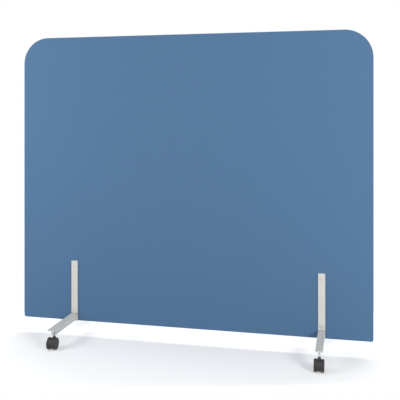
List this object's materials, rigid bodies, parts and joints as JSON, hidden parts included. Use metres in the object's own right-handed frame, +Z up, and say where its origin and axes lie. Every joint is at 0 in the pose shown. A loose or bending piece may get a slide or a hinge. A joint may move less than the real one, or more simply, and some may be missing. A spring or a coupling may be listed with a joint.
{
  "type": "rolling partition",
  "caption": "Upholstered office partition with rounded top corners, bolted steel T-feet and swivelling twin-wheel casters.",
  "frame": {"origin": "on the floor, under the middle of the panel, which is the bottom centre of the whole part", "axes": "+X along the panel to the right seen from the front, -Y out of the front face, +Z up"},
  "size_m": [1.6, 0.5618, 1.3675],
  "materials": {
    "cover_fabric": "matte",
    "backing_board": "matte",
    "frame_timber": "matte",
    "absorber_board": "matte",
    "bracket_paint": "satin",
    "bolt_zinc": "satin",
    "caster_nylon": "satin",
    "pin_steel": "satin"
  },
  "bodies": {
    "root": {"front_cover": "cover_fabric", "rear_cover": "cover_fabric", "front_backing_board": "backing_board", "rear_backing_board": "backing_board", "frame_left_stile": "frame_timber", "frame_right_stile": "frame_timber", "frame_top_rail": "frame_timber", "frame_bottom_rail": "frame_timber", "frame_left_corner": "frame_timber", "frame_right_corner": "frame_timber", "frame_left_post": "frame_timber", "frame_right_post": "frame_timber", "frame_centre_post": "frame_timber", "absorber_left": "absorber_board", "absorber_centre_left": "absorber_board", "absorber_centre_right": "absorber_board", "absorber_right": "absorber_board", "bracket_front_left": "bracket_paint", "bracket_front_right": "bracket_paint", "bracket_rear_left": "bracket_paint", "bracket_rear_right": "bracket_paint", "bolt_left_lower": "bolt_zinc", "nut_left_lower": "bolt_zinc", "bolt_left_upper": "bolt_zinc", "nut_left_upper": "bolt_zinc", "bolt_right_lower": "bolt_zinc", "nut_right_lower": "bolt_zinc", "bolt_right_upper": "bolt_zinc", "nut_right_upper": "bolt_zinc", "caster_front_left_stem": "pin_steel", "caster_front_right_stem": "pin_steel", "caster_rear_left_stem": "pin_steel", "caster_rear_right_stem": "pin_steel"},
    "caster_front_left": {"caster_front_left_housing": "caster_nylon", "caster_front_left_clip": "pin_steel", "caster_front_left_axle": "pin_steel"},
    "caster_front_left_outer_wheel": {"caster_front_left_outer_wheel": "caster_nylon"},
    "caster_front_left_inner_wheel": {"caster_front_left_inner_wheel": "caster_nylon"},
    "caster_front_right": {"caster_front_right_housing": "caster_nylon", "caster_front_right_clip": "pin_steel", "caster_front_right_axle": "pin_steel"},
    "caster_front_right_outer_wheel": {"caster_front_right_outer_wheel": "caster_nylon"},
    "caster_front_right_inner_wheel": {"caster_front_right_inner_wheel": "caster_nylon"},
    "caster_rear_left": {"caster_rear_left_housing": "caster_nylon", "caster_rear_left_clip": "pin_steel", "caster_rear_left_axle": "pin_steel"},
    "caster_rear_left_outer_wheel": {"caster_rear_left_outer_wheel": "caster_nylon"},
    "caster_rear_left_inner_wheel": {"caster_rear_left_inner_wheel": "caster_nylon"},
    "caster_rear_right": {"caster_rear_right_housing": "caster_nylon", "caster_rear_right_clip": "pin_steel", "caster_rear_right_axle": "pin_steel"},
    "caster_rear_right_outer_wheel": {"caster_rear_right_outer_wheel": "caster_nylon"},
    "caster_rear_right_inner_wheel": {"caster_rear_right_inner_wheel": "caster_nylon"}
  },
  "joints": [
    {"name": "caster_front_left_swivel", "type": "hinge", "parent": "root", "child": "caster_front_left", "pos_m": [-0.542, -0.236, 0.05], "axis": [0, 0, 1], "continuous": true},
    {"name": "caster_front_left_outer_wheel_spin", "type": "hinge", "parent": "caster_front_left", "child": "caster_front_left_outer_wheel", "pos_m": [-0.54101, -0.25497, 0.025], "axis": [0.9986, 0.0523, 0], "continuous": true},
    {"name": "caster_front_left_inner_wheel_spin", "type": "hinge", "parent": "caster_front_left", "child": "caster_front_left_inner_wheel", "pos_m": [-0.54101, -0.25497, 0.025], "axis": [0.9986, 0.0523, 0], "continuous": true},
    {"name": "caster_front_right_swivel", "type": "hinge", "parent": "root", "child": "caster_front_right", "pos_m": [0.586, -0.236, 0.05], "axis": [0, 0, 1], "continuous": true},
    {"name": "caster_front_right_outer_wheel_spin", "type": "hinge", "parent": "caster_front_right", "child": "caster_front_right_outer_wheel", "pos_m": [0.58567, -0.255, 0.025], "axis": [0.9998, -0.0175, 0], "continuous": true},
    {"name": "caster_front_right_inner_wheel_spin", "type": "hinge", "parent": "caster_front_right", "child": "caster_front_right_inner_wheel", "pos_m": [0.58567, -0.255, 0.025], "axis": [0.9998, -0.0175, 0], "continuous": true},
    {"name": "caster_rear_left_swivel", "type": "hinge", "parent": "root", "child": "caster_rear_left", "pos_m": [-0.542, 0.236, 0.05], "axis": [0, 0, 1], "continuous": true},
    {"name": "caster_rear_left_outer_wheel_spin", "type": "hinge", "parent": "caster_rear_left", "child": "caster_rear_left_outer_wheel", "pos_m": [-0.54101, 0.25497, 0.025], "axis": [-0.9986, 0.0523, 0], "continuous": true},
    {"name": "caster_rear_left_inner_wheel_spin", "type": "hinge", "parent": "caster_rear_left", "child": "caster_rear_left_inner_wheel", "pos_m": [-0.54101, 0.25497, 0.025], "axis": [-0.9986, 0.0523, 0], "continuous": true},
    {"name": "caster_rear_right_swivel", "type": "hinge", "parent": "root", "child": "caster_rear_right", "pos_m": [0.586, 0.236, 0.05], "axis": [0, 0, 1], "continuous": true},
    {"name": "caster_rear_right_outer_wheel_spin", "type": "hinge", "parent": "caster_rear_right", "child": "caster_rear_right_outer_wheel", "pos_m": [0.58567, 0.255, 0.025], "axis": [-0.9998, -0.0175, 0], "continuous": true},
    {"name": "caster_rear_right_inner_wheel_spin", "type": "hinge", "parent": "caster_rear_right", "child": "caster_rear_right_inner_wheel", "pos_m": [0.58567, 0.255, 0.025], "axis": [-0.9998, -0.0175, 0], "continuous": true}
  ]
}
